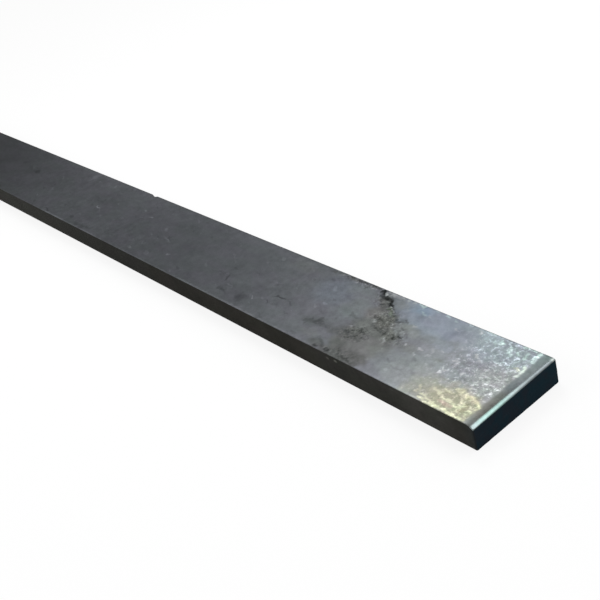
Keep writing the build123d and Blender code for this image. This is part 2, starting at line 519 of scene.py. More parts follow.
# Bent strokes, from black tears to bright scrapes: (points, width, ragged, colour, strength).
STROKES = (
    # the torn edge and what lies along it; the black in the tear is partly painted shadow
    (((92.0, 19.4), (88.0, 19.3), (83.5, 19.0), (80.6, 18.8)), 1.4, 0.5, SOOT, 0.7),
    (((80.9, 18.9), (79.4, 17.0), (78.0, 15.9), (75.6, 15.9), (74.1, 16.2)), 3.1, 0.8, BLACK_AND_SHADOW, 0.95),
    (((74.6, 16.0), (72.8, 14.2), (70.7, 12.0)), 3.3, 0.8, BLACK_AND_SHADOW, 0.95),
    (((70.9, 12.0), (67.6, 10.7), (65.6, 9.2), (63.0, 8.0)), 2.2, 1.0, SOOT, 0.85),
    (((70.9, 11.6), (67.4, 10.6)), 1.5, 0.6, BLACK_AND_SHADOW, 0.7),
    (((71.0, 11.6), (68.0, 9.8), (65.8, 8.6)), 1.5, 0.8, MOSS, 0.8),
    (((79.2, 18.4), (77.7, 17.5)), 1.3, 0.3, SILVER, 0.9),
    (((76.4, 18.8), (74.2, 18.0)), 1.4, 0.6, SILVER, 0.5),
    (((73.0, 18.8), (70.0, 18.4)), 1.6, 0.6, SILVER, 0.35),
    (((71.2, 12.6), (69.2, 11.4), (66.0, 9.9)), 1.0, 0.5, SILVER, 0.55),
    # light specks along the rim and beside the tear; the frosty ones are partly painted glints
    (((78.4, 19.4), (75.4, 19.3), (73.6, 18.9)), 1.4, 0.6, SILVER, 0.5),
    (((71.6, 19.4), (70.6, 18.9)), 1.2, 0.5, SILVER, 0.7),
    (((68.4, 19.4), (67.4, 18.9)), 1.2, 0.5, SILVER, 0.6),
    (((65.0, 19.3), (64.0, 18.9)), 1.2, 0.5, SILVER, 0.5),
    (((62.0, 19.2), (58.6, 19.5)), 1.4, 0.6, FROST_AND_GLINT, 0.7),
    (((85.8, 18.5), (84.8, 17.9)), 1.1, 0.5, SILVER, 0.3),
    (((88.6, 18.6), (87.4, 17.8)), 1.2, 0.5, SILVER, 0.35),
    (((92.0, 18.9), (90.8, 18.3)), 1.1, 0.5, SILVER, 0.35),
    (((96.6, 18.9), (95.2, 18.2)), 1.2, 0.5, SILVER, 0.4),
    (((101.4, 18.9), (100.2, 18.3)), 1.1, 0.5, SILVER, 0.35),
    (((105.6, 18.9), (104.6, 18.5)), 1.0, 0.5, SILVER, 0.3),
    (((53.6, 19.4), (52.0, 19.1)), 1.1, 0.5, FROST_AND_GLINT, 0.4),
    (((48.6, 19.5), (46.8, 19.1)), 1.2, 0.5, FROST_AND_GLINT, 0.5),
    (((43.6, 18.9), (42.2, 18.0)), 1.1, 0.5, FROST_AND_GLINT, 0.4),
    (((38.0, 19.5), (35.5, 19.3)), 1.0, 0.5, FROST_AND_GLINT, 0.4),
    (((57.9, 9.2), (57.0, 8.8)), 1.0, 0.4, SILVER, 0.35),
    (((55.6, 8.9), (53.8, 8.1)), 1.3, 0.5, SILVER, 0.35),
    (((64.6, 15.2), (63.4, 14.2)), 1.1, 0.5, SILVER, 0.25),
    (((54.0, 15.8), (52.8, 15.0)), 1.0, 0.5, SILVER, 0.25),
    # smears and spots beside it
    (((70.4, 3.4), (69.4, 2.9)), 1.4, 0.4, SILVER, 0.4),
    (((63.2, 5.2), (62.2, 4.6)), 1.2, 0.6, SILVER, 0.45),
    (((61.2, 3.6), (60.4, 3.0)), 1.2, 0.6, SILVER, 0.35),
    (((59.0, -2.2), (57.2, -4.2)), 1.2, 0.4, SILVER, 0.45),
    (((56.0, 4.2), (55.0, 3.2)), 1.2, 0.4, SILVER, 0.3),
    (((59.6, 9.3), (58.0, 8.5)), 1.3, 0.5, SOOT, 0.75),
    (((58.0, 5.4), (56.6, 4.4)), 1.5, 0.6, SOOT, 0.75),
    (((66.5, 5.5), (65.5, 3.5)), 1.8, 0.8, BLACK_AND_SHADOW, 0.45),
    (((67.4, 1.2), (64.0, 0.2), (61.0, 0.0)), 1.7, 0.9, BLACK_AND_SHADOW, 0.4),
    (((57.6, 0.8), (56.0, -0.9)), 1.9, 0.8, BLACK_AND_SHADOW, 0.5),
    (((54.8, 1.5), (54.0, 0.8)), 1.2, 0.4, BLACK_AND_SHADOW, 0.75),
    (((72.5, -2.4), (69.0, -4.2), (67.8, -4.0)), 1.8, 0.8, BLACK_AND_SHADOW, 0.5),
    (((65.0, -4.4), (63.8, -5.2)), 1.5, 0.6, SOOT, 0.6),
    (((75.8, -6.4), (72.0, -7.4), (70.5, -7.2)), 1.8, 0.8, SOOT, 0.8),
    (((74.2, -17.9), (72.6, -18.7)), 2.1, 0.5, BLACK_AND_SHADOW, 0.8),
    (((69.0, -15.6), (66.0, -17.2), (62.6, -18.4), (58.2, -18.9)), 1.3, 0.6, BLACK_AND_SHADOW, 0.5),
    (((71.0, -16.6), (68.0, -17.8), (66.0, -18.6)), 1.1, 0.5, SOOT, 0.6),
    (((80.2, -15.2), (77.8, -16.4), (76.0, -17.6)), 1.6, 0.6, SOOT, 0.5),
    (((79.6, -18.8), (78.2, -19.0)), 1.3, 0.3, BLACK_AND_SHADOW, 0.7),
    (((82.0, 2.2), (79.5, 1.2), (77.5, 0.8)), 2.0, 0.8, SOOT, 0.45),
    (((95.0, -10.6), (92.0, -9.2), (90.4, -7.8), (89.4, -5.8)), 3.0, 1.0, SOOT, 0.5),
    (((91.0, -8.6), (87.5, -8.4), (84.6, -9.4)), 2.6, 1.0, SOOT, 0.5),
    (((94.0, -17.9), (91.5, -18.3)), 1.5, 0.4, SOOT, 0.3),
    (((76.2, -3.5), (75.4, -3.8)), 1.5, 0.3, SILVER, 0.5),
    (((99.4, -1.5), (97.8, -2.9)), 1.0, 0.4, SILVER, 0.2),
    (((48.0, -12.5), (38.5, -12.2)), 0.9, 0.6, SOOT, 0.22),
    (((60.2, 19.2), (59.0, 18.2)), 1.4, 0.4, FROST_AND_GLINT, 0.45),
    (((58.4, 16.2), (55.8, 15.3)), 1.2, 0.6, FROST_AND_GLINT, 0.35),
    # cold white flecks in the +Y corner of the end, and warm ones under them, partly painted glints
    (((5.6, 19.0), (5.0, 16.6), (4.6, 14.7)), 2.6, 0.6, FROST_AND_GLINT, 1.0),
    (((8.9, 17.2), (8.3, 14.0)), 1.7, 0.5, FROST_AND_GLINT, 0.9),
    (((15.8, 16.3), (14.8, 14.6), (13.6, 13.8)), 2.2, 0.7, FROST_AND_GLINT, 0.7),
    (((12.6, 19.5), (7.5, 19.6)), 1.6, 0.7, FROST_AND_GLINT, 0.8),
    (((20.9, 17.6), (20.0, 16.9)), 2.3, 0.4, FROST_AND_GLINT, 0.95),
    (((30.9, 18.3), (30.3, 17.7)), 1.3, 0.3, SILVER, 0.9),
    (((28.0, 19.4), (24.9, 18.9)), 1.4, 0.5, FROST_AND_GLINT, 0.6),
    (((11.8, 15.6), (11.0, 14.9)), 1.4, 0.4, FROST_AND_GLINT, 0.7),
    (((24.0, 16.8), (22.2, 15.6)), 1.2, 0.5, FROST_AND_GLINT, 0.35),
    (((5.2, 10.8), (4.7, 8.6), (4.7, 6.2)), 2.2, 0.6, MILK_AND_GLINT, 1.0),
    (((7.8, 9.2), (6.2, 8.4)), 1.4, 0.5, CREAM, 0.4),
    (((23.6, 7.9), (22.2, 6.7)), 1.6, 0.4, SILVER, 0.75),
    (((21.0, 6.4), (20.0, 5.2)), 1.2, 0.4, SILVER, 0.5),
    # crust in the -Y corner of the end
    (((16.2, -8.7), (12.2, -9.6), (8.6, -10.3), (6.2, -11.0), (4.4, -12.1)), 2.8, 0.9, STRAW, 0.45),
    (((11.6, -9.5), (7.6, -10.4), (5.2, -11.4)), 1.5, 0.8, STRAW, 0.5),
    (((14.0, -9.8), (11.0, -12.4), (8.9, -14.2)), 1.4, 0.9, CREAM, 0.55),
    (((23.6, -12.5), (20.4, -13.4), (18.2, -14.6), (16.6, -15.6)), 1.4, 0.8, CREAM, 0.5),
    (((17.9, -14.8), (13.6, -15.1), (10.8, -15.6)), 1.3, 0.8, CREAM, 0.6),
    (((8.5, -12.6), (8.3, -15.0), (8.7, -17.2)), 1.8, 0.8, BROWN, 0.65),
    (((7.2, -14.9), (5.6, -14.7), (4.8, -15.4)), 1.3, 0.6, CREAM, 0.65),
    (((10.4, -15.4), (9.4, -17.6)), 1.4, 0.6, CREAM, 0.55),
    (((6.4, -16.6), (5.2, -17.6)), 1.4, 0.7, CREAM, 0.55),
    (((17.4, -16.2), (14.8, -17.0), (12.6, -16.6)), 2.3, 0.7, PINK, 0.6),
    (((25.6, -17.2), (21.6, -17.6), (18.6, -18.3), (16.4, -19.1)), 1.4, 0.6, CREAM, 0.55),
    (((17.4, -19.2), (11.0, -19.3), (5.6, -19.0)), 1.5, 0.6, CREAM, 0.8),
    (((25.5, -18.9), (17.0, -19.3)), 1.3, 0.6, CREAM, 0.6),
    (((29.0, -14.0), (27.5, -15.6), (28.2, -17.2)), 1.3, 0.8, CREAM, 0.35),
    (((20.0, -11.0), (16.4, -11.6)), 1.3, 0.7, CREAM, 0.5),
    # single bright flecks and a low ridge farther in
    (((28.4, -5.4), (27.9, -6.2)), 1.6, 0.3, SILVER, 1.0),
    (((28.3, -3.6), (27.0, -4.4)), 1.2, 0.4, SILVER, 0.5),
    (((35.6, -4.8), (35.0, -5.2)), 1.1, 0.3, SILVER, 0.4),
    (((43.6, 0.3), (41.6, -0.5)), 1.3, 0.4, SILVER, 0.45),
    (((49.8, -0.5), (49.0, -1.1)), 1.3, 0.3, SILVER, 0.6),
    (((43.2, -3.0), (42.4, -3.6)), 1.1, 0.3, SILVER, 0.45),
    (((39.8, 2.6), (38.0, 1.2), (37.2, -0.4), (38.2, -1.8)), 1.6, 0.8, SILVER, 0.3),
    (((27.9, 1.6), (26.4, 1.2), (25.4, 0.0), (26.2, -1.2)), 1.3, 0.6, SILVER, 0.4),
    (((40.0, 14.8), (38.4, 14.1)), 1.1, 0.4, SILVER, 0.4),
    (((21.1, -2.0), (20.7, -2.5)), 1.4, 0.3, SILVER, 0.8),
)


def with_rims(colour, u, v, push, fine):
    """Lays gappy dirt along the +Y rim, and paints the line along the -Y one lighter: partly wear,
    partly a highlight on the rolled corner.
    """
    dirt = smooth(*RIM_DIRT_Y, v + 0.5 * fine[0] + 0.5 * push[1])
    dirt = dirt * smooth(*RIM_DIRT_START, u + 4.0 * push[0])
    dirt = dirt * (0.2 + 0.8 * (1.0 - smooth(*RIM_DIRT_END, u)))
    dirt = dirt * smooth(-0.4, 0.3, rough(u, v, 3.0, seed=65))
    colour = laid(colour, RIM, 0.65 * dirt)
    wear_and_highlight = smooth(*RIM_WEAR_AND_HIGHLIGHT_Y, -v + 0.2 * fine[1])
    wear_and_highlight = wear_and_highlight * (0.3 + 0.7 * smooth(-0.4, 0.4, rough(u, v, 12.0, seed=61)))
    return colour * (1.0 + wear_and_highlight * by_place(u, RIM_WEAR_AND_HIGHLIGHT))[..., None]


def broken_ground(u, v, push):
    """How broken the ground is, and its dark pits and light crumbs, which are hills cut off."""
    wander_u, wander_v = u + BROKEN_PUSH * push[0], v + BROKEN_PUSH * push[1]
    broken = np.zeros(u.shape)
    for place, reach, turn, most in BROKEN:
        broken = np.maximum(broken, most * patch(wander_u, wander_v, place, reach, turn, core=0.3))
    pits = broken * smooth(0.05, 0.55, rough(u, v, 1.9, seed=21))
    crumbs = broken * smooth(0.1, 0.6, rough(u, v, 1.6, seed=25))
    return broken, pits, crumbs


def with_strokes(colour, u, v, push, fine):
    """Lays the strokes over a colour, and says how deep they go. Gaps break up the ragged ones."""
    gap = smooth(0.0, 0.5, rough(u, v, 1.5, seed=51))
    fine_u, fine_v = 0.5 * fine[0], 0.5 * fine[1]
    relief = np.zeros(u.shape)
    for points, width, ragged, tint, strength in STROKES:
        share = line(u + ragged * push[0] + fine_u, v + ragged * push[1] + fine_v, points, width)
        share = strength * smooth(0.0, 0.55, share) * (1.0 - 0.6 * ragged * gap)
        colour = laid(colour, tint, share)
        relief = relief + (TEAR_DEPTH if tint is BLACK_AND_SHADOW else SCRAPE_DEPTH) * share
    return colour, relief


def upper_marks(u, v):
    """What the upper face carries near the cut: base colour, how speckled, crusty, broken and
    uneven it is, and relief. Marks are looked up at places pushed about by random hills, which
    makes their borders ragged."""
    push = rough(u, v, 2.4, seed=1), rough(u, v, 2.4, seed=5)
    fine = hills(u, v, 0.9, seed=31), hills(u, v, 0.9, seed=35)
    colour = np.empty(u.shape + (3,))
    colour[:] = SCALE
    wander_u, wander_v = u + STAIN_PUSH * push[0], v + STAIN_PUSH * push[1]
    for place, reach, turn, core, tint, strength in STAINS:
        share = patch(wander_u, wander_v, place, reach, turn, core)
        colour = laid(colour, tint, strength * share)
    colour = with_rims(colour, u, v, push, fine)
    broken, pits, crumbs = broken_ground(u, v, push)
    colour = laid(colour, SOOT, 0.5 * pits)
    colour = laid(colour, CRUMB, 0.45 * crumbs)
    colour, relief = with_strokes(colour, u, v, push, fine)

    # The band that dips into the roll-in is wiped clean, and nothing lies on it.
    edge = ROLL_IN_REACH[0] / MM
    ragged_u = u + 0.4 * push[0]
    band = 1.0 - smooth(edge - 0.8, edge + 0.6, ragged_u)
    colour = laid(colour, by_width(v, BAND), band)
    clear = smooth(edge - 0.6, edge + 0.6, ragged_u)

    # The speckled ground ends in a ragged border and is cloudy, and the crust lies on it.
    speckle = clear * (1.0 - smooth(*SPECKLE_FADE, u + 5.0 * rough(u, v, 9.0, seed=9)))
    speckle = speckle * (1.0 - 0.8 * patch(u, v, *FEW_SPECKLES))
    colour = colour * (1.0 + 0.16 * speckle * rough(u, v, 4.0, seed=71))[..., None]
    crust_u, crust_v = u + CRUST_PUSH * push[0], v + CRUST_PUSH * push[1]
    crust = clear * patch(crust_u, crust_v, *CRUST, core=0.35)

    # More uneven near the cut, where the ground is broken and in the speckles, and less so in the
    # calm places.
    unrest = 0.60 + 0.20 * (1.0 - smooth(60.0, 110.0, u)) + 0.5 * broken + 0.2 * speckle
    unrest = unrest - 0.2 * patch(u, v, *CALM_PATCH, core=0.4)
    unrest = unrest - 0.2 * stretch(u, *CALM_STRETCH)
    relief = relief + PIT_DEPTH * pits
    relief = relief + SPECKLE_DEPTH * speckle * (1.0 + hills(u, v, 0.9, seed=12))
    return colour, (speckle, crust, broken, unrest), relief


def shaded_side_colour(from_end, from_cut):
    """The narrow sides, in a painted shade of the scale: brown for a stretch, greener by a cut and
    nearly black at its corner.
    """
    colour = laid(np.array(SHADED_SIDE), SIDE_BROWN, stretch(from_end, *SIDE_BROWN_STRETCH))
    colour = colour * by_place(from_end, SIDE_SHADE_DRIFT)[..., None]
    colour = laid(colour, SIDE_BY_CUT, 0.8 * (1.0 - smooth(*SIDE_BY_CUT_FADE, from_cut)))
    return laid(colour, SIDE_CORNER, 0.8 * (1.0 - smooth(*SIDE_CORNER_FADE, from_cut)))


def lip_burnish_and_highlight(from_cut, v):
    """The burnished lip with its painted highlight, and a darker line painted along the arris
    itself, where the highlight stops.
    """
    edge_shade = 0.22
    shine = edge_shade + (1.0 - edge_shade) * smooth(0.0, by_place(v, LIP_EDGE_SHADE_WIDTH), from_cut)
    return by_width(v, LIP_BURNISH_AND_HIGHLIGHT) * shine[..., None]


def bar_points():
    """The skin's grid of points, rings along the bar by points round the section, and what the
    finishes read at each of them."""
    outline = section()
    places = ring_places()
    x = np.repeat(places[:, None], len(outline[0]), axis=1)
    y, z, out_y, out_z = (np.repeat(row[None, :], len(places), axis=0) for row in outline)
    near = x >= 0.0
    upper = out_z > 0.5
    from_end, from_cut, v = (HALF_LENGTH - x) / MM, (HALF_LENGTH - np.abs(x)) / MM, y / MM

    colour, fields, relief = upper_marks(from_end, v)
    colour = np.where(upper[..., None], colour, np.array(SCALE))
    speckle, crust, broken, unrest = (np.where(upper, field, 0.0) for field in fields)
    unrest = np.where(upper, unrest, 0.75)
    relief = np.where(upper, relief, 0.0) * MM
    y, z = y - out_y * relief, z - out_z * relief

    # The other end is the same cut given half a turn, so its points are worked out the same way.
    turned = cropped(np.abs(x), y, np.where(near, z, THICKNESS - z))
    lip_side = np.where(near, out_z, -out_z) > 0.3
    lip_reach = across(LIP_REACH, y) / MM
    polish = np.where(lip_side, 1.0 - smooth(0.7 * lip_reach, 1.2 * lip_reach, from_cut), 0.0)
    x = np.where(near, turned[0], -turned[0])
    z = np.where(near, turned[2], THICKNESS - turned[2])
    y, z = nicked(x, turned[1], z)

    drift = 1.0 + smooth(*WIDTH_DRIFT_START, from_end) * (by_place(v, WIDTH_DRIFT) - 1.0)
    colour = colour * (drift * by_place(from_end, SCALE_AND_SHADE_DRIFT))[..., None]
    # The narrow sides' finish runs a little way round the long corners, less far at +Y.
    full, gone = (np.where(out_y < 0.0, *pair) for pair in (SIDE_GIVES_WAY, SIDE_GONE))
    narrow = 1.0 - smooth(full, gone, np.abs(out_z))
    colour = laid(colour, shaded_side_colour(from_end, from_cut), narrow)
    colour = laid(colour, lip_burnish_and_highlight(from_cut, np.where(near, v, -v)), polish)
    fields = {
        "scale_colour": colour,
        "speckle": speckle,
        "crust": crust,
        "broken": broken,
        "unrest": unrest,
        "polish": polish,
        "narrow": narrow,
    }
    return (x, y, z), fields


def cap_line(y, z):
    """The short line inside a cut end that its cap closes on, and which of the line's points each
    point of the ring belongs to: a top point the nearest one below it, a bottom point the one
    above it, and a point on a narrow side or a corner the line's end on that side. The line stops
    a third of the bar's thickness short of its sides, halfway up."""
    top = np.arange(TOP_STEPS + 1)
    bottom = np.arange(TOP_STEPS + SIDE_STEPS + 2 * CORNER_STEPS, len(y))[: BOTTOM_STEPS + 1]
    owner = np.where(y > 0.0, 0, BOTTOM_STEPS)
    owner[top] = np.round(top * BOTTOM_STEPS / TOP_STEPS)
    owner[bottom] = BOTTOM_STEPS - np.arange(BOTTOM_STEPS + 1)
    reach = y[top].max() - z.max() / 3
    line_y = np.linspace(reach, -reach, BOTTOM_STEPS + 1)
    above = np.interp(line_y, y[top][::-1], z[top][::-1])
    below = np.interp(line_y, y[bottom], z[bottom])
    return line_y, (above + below) / 2, owner


def cap(ring, far_side):
    """Rings that close one cut end, drawn in evenly from its outline to the line inside it."""
    x, y, z = ring
    line_y, line_z, owner = cap_line(y, z)
    order = np.argsort(line_y)
    inner_y = np.clip(y, line_y.min(), line_y.max())
    inner_z = np.interp(inner_y, line_y[order], line_z[order])
    share = np.linspace(0.0, 1.0, CAP_RINGS + 1)[1:-1, None]
    ring_y = y[None, :] * (1 - share) + inner_y[None, :] * share
    ring_z = z[None, :] * (1 - share) + inner_z[None, :] * share
    all_y = np.concatenate((ring_y.ravel(), line_y))
    all_z = np.concatenate((ring_z.ravel(), line_z))
    face = HALF_LENGTH - cut_depth(all_y, THICKNESS - all_z if far_side else all_z)
    return np.stack((-face if far_side else face, all_y, all_z), axis=-1), owner


def strip(outer, inner):
    """Quads between two rings of point numbers, one ring inside or beyond the other."""
    next_outer, next_inner = np.roll(outer, -1, axis=-1), np.roll(inner, -1, axis=-1)
    return np.stack((outer, inner, next_inner, next_outer), axis=-1)


def add_field(made, name, values):
    """Gives each of a mesh's points a number, or a colour where values holds three numbers for
    each. The points inside the cuts come last and get zeros."""
    values = values.reshape((-1,) + values.shape[2:])
    whole = np.zeros((len(made.vertices),) + values.shape[1:])
    whole[: len(values)] = values
    if values.ndim == 1:
        made.attributes.new(name, "FLOAT", "POINT").data.foreach_set("value", whole)
        return
    whole = np.concatenate((whole, np.ones((len(whole), 1))), axis=1)
    made.attributes.new(name, "FLOAT_COLOR", "POINT").data.foreach_set("color", whole.ravel())


def bar_mesh(name):
    """One closed mesh: the skin's rings, and at each cut end a cap whose last quads meet the line
    inside it. A quad there that has only three different corners is a triangle. The faces of the
    cuts have the second finish, and the edges round them are sharp."""
    (x, y, z), fields = bar_points()
    rings, around = x.shape
    points = [np.stack((x, y, z), axis=-1).reshape(-1, 3)]
    number = np.arange(rings * around).reshape(rings, around)
    quads = [strip(number[:-1], number[1:]).reshape(-1, 4)]
    triangles = []
    for i, far_side in ((0, False), (rings - 1, True)):
        start = sum(len(block) for block in points)
        inside, owner = cap((x[i], y[i], z[i]), far_side)
        points.append(inside)
        line_start = start + (CAP_RINGS - 1) * around
        inner = np.arange(start, line_start).reshape(-1, around)
        steps = np.concatenate((number[i : i + 1], inner, line_start + owner[None, :]))
        faces = strip(steps[:-1], steps[1:]).reshape(-1, 4)
        flat = faces[:, 1] == faces[:, 2]
        turn = slice(None) if far_side else slice(None, None, -1)
        quads.append(faces[~flat][:, turn])
        triangles.append(faces[flat][:, (0, 1, 3)][:, turn])
    quads, triangles = np.concatenate(quads), np.concatenate(triangles)
    made = bpy.data.meshes.new(name)
    made.from_pydata(np.concatenate(points).tolist(), [], quads.tolist() + triangles.tolist())
    made.polygons.foreach_set("use_smooth", np.ones(len(made.polygons), bool))
    on_cut = np.arange(len(made.polygons)) >= (rings - 1) * around
    made.polygons.foreach_set("material_index", on_cut.astype(np.int32))
    ends = np.zeros(len(made.edges) * 2, int)
    made.edges.foreach_get("vertices", ends)
    arris = np.isin(ends.reshape(-1, 2), number[(0, -1), :]).all(axis=1)
    made.attributes.new("sharp_edge", "BOOLEAN", "EDGE").data.foreach_set("value", arris)
    for field, values in fields.items():
        add_field(made, field, values)
    made.update()
    return made


# ---------------------------------------------------------------------------------------------
# Finishes
# ---------------------------------------------------------------------------------------------


class Signal:
    """What a node puts out. Arithmetic on it adds Math nodes to the same finish."""

    def __init__(self, finish, socket):
        self.finish = finish
        self.socket = socket

    def maths(self, operation, first, second):
        return self.finish.node("ShaderNodeMath", {"operation": operation}, {0: first, 1: second})

    def __add__(self, other):
        return self.maths("ADD", self, other)

    def __sub__(self, other):
        return self.maths("SUBTRACT", self, other)

    def __rsub__(self, other):
        return self.maths("SUBTRACT", other, self)

    def __mul__(self, other):
        return self.maths("MULTIPLY", self, other)

    def __abs__(self):
        return self.finish.node("ShaderNodeMath", {"operation": "ABSOLUTE"}, {0: self})

    __radd__ = __add__
    __rmul__ = __mul__


def rgba(colour):
    return (*colour, 1.0)


class Finish:
    """A material, and the one way in which its nodes are made."""

    def __init__(self, name, constants):
        self.material = bpy.data.materials.new(name)
        self.material.use_nodes = True
        self.tree = self.material.node_tree
        self.shader = self.tree.nodes["Principled BSDF"]
        for socket, value in constants.items():
            self.feed(self.shader.inputs[socket], value)
        place = self.node("ShaderNodeTexCoord", output="Object")
        self.mm = self.node("ShaderNodeMapping", inputs={"Vector": place, "Scale": (1 / MM,) * 3})

    def feed(self, socket, value):
        if isinstance(value, Signal):
            self.tree.links.new(value.socket, socket)
        else:
            socket.default_value = value

    def node(self, kind, settings=None, inputs=None, output=0):
        """A new node of a kind: its settings come first, then its sockets' values or links."""
        made = self.tree.nodes.new(kind)
        for setting, value in (settings or {}).items():
            setattr(made, setting, value)
        for socket, value in (inputs or {}).items():
            self.feed(made.inputs[socket], value)
        return Signal(self, made.outputs[output])

    def drive(self, socket, value):
        self.feed(self.shader.inputs[socket], value)

    def field(self, name, output="Fac"):
        return self.node("ShaderNodeAttribute", {"attribute_name": name}, output=output)

    def stretched(self, scale, turn=0.0):
        """Millimetres, turned back about Z by turn degrees and then divided by scale, so that a
        pattern on them is drawn out by scale along X, Y and Z, and turned."""
        turned = {"Vector": self.mm, "Rotation": (0.0, 0.0, math.radians(turn)), "Scale": scale}
        return self.node("ShaderNodeMapping", {"vector_type": "TEXTURE"}, turned)

    def noise(self, where, size, detail=2.0, keep=0.5, distort=0.0, output=0):
        """Blender's noise, 0 to 1 about a middle of a half: hills about size across with detail
        rounds of smaller ones on them, each keep times as high as the last."""
        sockets = {
            "Vector": where,
            "Scale": 1.0 / size,
            "Detail": detail,
            "Roughness": keep,
            "Distortion": distort,
        }
        return self.node("ShaderNodeTexNoise", {"noise_dimensions": "3D"}, sockets, output)

    def between(self, value, low, high):
        """0 where value is below low, 1 above high, smooth between."""
        sockets = {"Value": value, "From Min": low, "From Max": high}
        return self.node("ShaderNodeMapRange", {"interpolation_type": "SMOOTHSTEP"}, sockets)

    def mix(self, share, first, second, blend="MIX"):
        """The first colour with as much of the second blended into it as share says."""
        settings = {"data_type": "RGBA", "blend_type": blend, "clamp_factor": True}
        return self.node("ShaderNodeMix", settings, {0: share, 6: first, 7: second}, output=2)

    def vectors(self, operation, inputs, output=0):
        return self.node("ShaderNodeVectorMath", {"operation": operation}, inputs, output)

    def pushed(self, size, far):
        """Millimetres, pushed about by hills of this size, by less than half of far each way."""
        push = self.noise(self.mm, size, output="Color")
        moved = self.vectors("MULTIPLY_ADD", {0: push, 1: (far,) * 3, 2: self.mm})
        return self.vectors("SUBTRACT", {0: moved, 1: (0.5 * far,) * 3})

    def spot(self, where, place, reach, turn=0.0):
        """1 in the middle of an egg shape and 0 outside it: how far a point is from place after
        the shape is turned straight and made a ball of radius 1."""
        sockets = {
            "Vector": where,
            "Location": (HALF_LENGTH / MM - place[0], *place[1:]),
            "Rotation": (0.0, 0.0, math.radians(turn)),
            "Scale": reach,
        }
        centred = self.node("ShaderNodeMapping", {"vector_type": "TEXTURE"}, sockets)
        away = self.vectors("LENGTH", {"Vector": centred}, output="Value")
        return 1.0 - self.between(away, 0.2, 1.0)

    def scaled(self, colour, amount):
        """A colour made lighter or darker by a number."""
        return self.vectors("SCALE", {"Vector": colour, "Scale": amount})

    def cast(self, where, size, cool, warm):
        """Patches about size across of one faint tint, and of another between them."""
        lean = self.between(self.noise(where, size, detail=1.0), 0.35, 0.65)
        return self.mix(lean, rgba(cool), rgba(warm))

    def bump(self, height, depth):
        """Relief for the Normal socket: height runs from 0 to 1 and is depth metres deep."""
        sockets = {"Strength": 1.0, "Distance": depth, "Height": height}
        return self.node("ShaderNodeBump", inputs=sockets)


# Small marks farther along: (place, half widths, turn, how much lighter or darker). Looking them
# up at places pushed about takes some of their strength, and the gain makes up for it.
FAR_MARK_PUSH = (3.5, 6.0)
FAR_MARK_GAIN = 1.55
FAR_MARKS = (
    ((117.0, -6.0), (4.2, 1.0), 6.0, -0.32),
    ((110.0, -6.3), (3.0, 0.9), 0.0, -0.14),
    ((120.3, -10.4), (3.6, 1.0), -28.0, -0.20),
    ((114.0, -9.8), (3.2, 1.6), -20.0, -0.10),
    ((105.3, -11.7), (1.4, 0.8), 0.0, -0.22),
    ((109.8, 17.8), (5.0, 1.8), -10.0, -0.14),
    ((114.0, -17.9), (4.5, 1.0), 0.0, -0.12),
    ((124.7, 1.4), (3.6, 0.8), 18.0, 0.14),
    ((127.5, -11.9), (1.3, 0.7), -25.0, 0.50),
    ((133.0, -13.8), (6.5, 3.4), -20.0, -0.17),
    ((145.4, -14.2), (6.0, 1.6), -16.0, -0.20),
    ((144.8, -11.4), (4.6, 0.8), -10.0, 0.20),
    ((150.6, -7.6), (3.2, 1.1), -35.0, -0.24),
    ((157.0, -6.6), (7.0, 1.2), 6.0, -0.08),
    ((139.7, 0.9), (2.6, 0.7), -30.0, -0.12),
    ((159.0, 3.0), (8.5, 0.8), -42.0, 0.12),
    ((177.3, 13.4), (4.5, 1.8), -20.0, 0.07),
    ((180.0, -15.2), (3.0, 1.5), -20.0, -0.12),
    ((195.0, -10.6), (1.5, 0.7), -22.0, 0.42),
    ((206.0, -2.7), (5.0, 0.8), -28.0, 0.22),
    ((206.5, -1.4), (4.0, 0.7), -26.0, -0.10),
    ((208.3, -2.2), (3.6, 0.7), -24.0, 0.16),
    ((213.0, -4.8), (1.3, 0.7), 0.0, 0.45),
    ((214.3, -3.4), (1.6, 0.9), 0.0, -0.20),
    ((215.7, 1.7), (2.2, 1.4), -10.0, 0.26),
    ((217.2, -10.5), (2.4, 0.8), -28.0, 0.22),
    ((219.4, -4.0), (2.0, 0.8), -30.0, 0.24),
    ((220.4, -15.5), (2.2, 1.0), -12.0, 0.20),
    ((225.0, -11.5), (1.3, 0.7), -20.0, 0.24),
    ((234.2, 5.0), (1.9, 0.9), -30.0, 0.45),
    ((239.5, 3.2), (1.7, 0.7), -12.0, 0.24),
    ((243.8, 7.8), (1.9, 1.4), -20.0, 0.30),
    ((244.8, 6.2), (1.2, 0.8), 0.0, -0.26),
    ((249.3, -11.4), (2.8, 1.0), -12.0, 0.12),
    ((275.2, -2.2), (2.8, 0.7), -32.0, 0.75),
    ((271.4, -4.2), (2.8, 0.6), -22.0, 0.35),
    ((266.0, -17.6), (12.0, 1.4), 0.0, -0.12),
    ((304.0, -17.9), (3.8, 1.2), 0.0, -0.25),
    ((309.6, 15.0), (3.0, 6.5), 0.0, 0.20),
    ((355.8, 2.5), (4.0, 2.0), -20.0, -0.20),
    ((340.0, 19.0), (60.0, 3.0), 0.0, 0.07),
    ((301.5, 11.0), (5.0, 7.0), 0.0, -0.06),
    ((278.3, -11.6), (2.4, 0.9), -28.0, 0.14),
    ((280.7, -15.7), (2.4, 1.3), 0.0, -0.20),
    ((289.0, -11.2), (2.6, 1.1), 0.0, 0.13),
    ((324.0, -4.6), (3.4, 1.6), -48.0, 0.20),
    ((328.0, -12.0), (1.9, 0.8), -24.0, 0.34),
    ((330.6, 6.5), (2.8, 0.9), -22.0, 0.30),
    ((331.8, -5.8), (2.2, 0.8), -28.0, -0.18),
    ((365.0, 5.6), (4.4, 2.0), -30.0, 0.16),
)

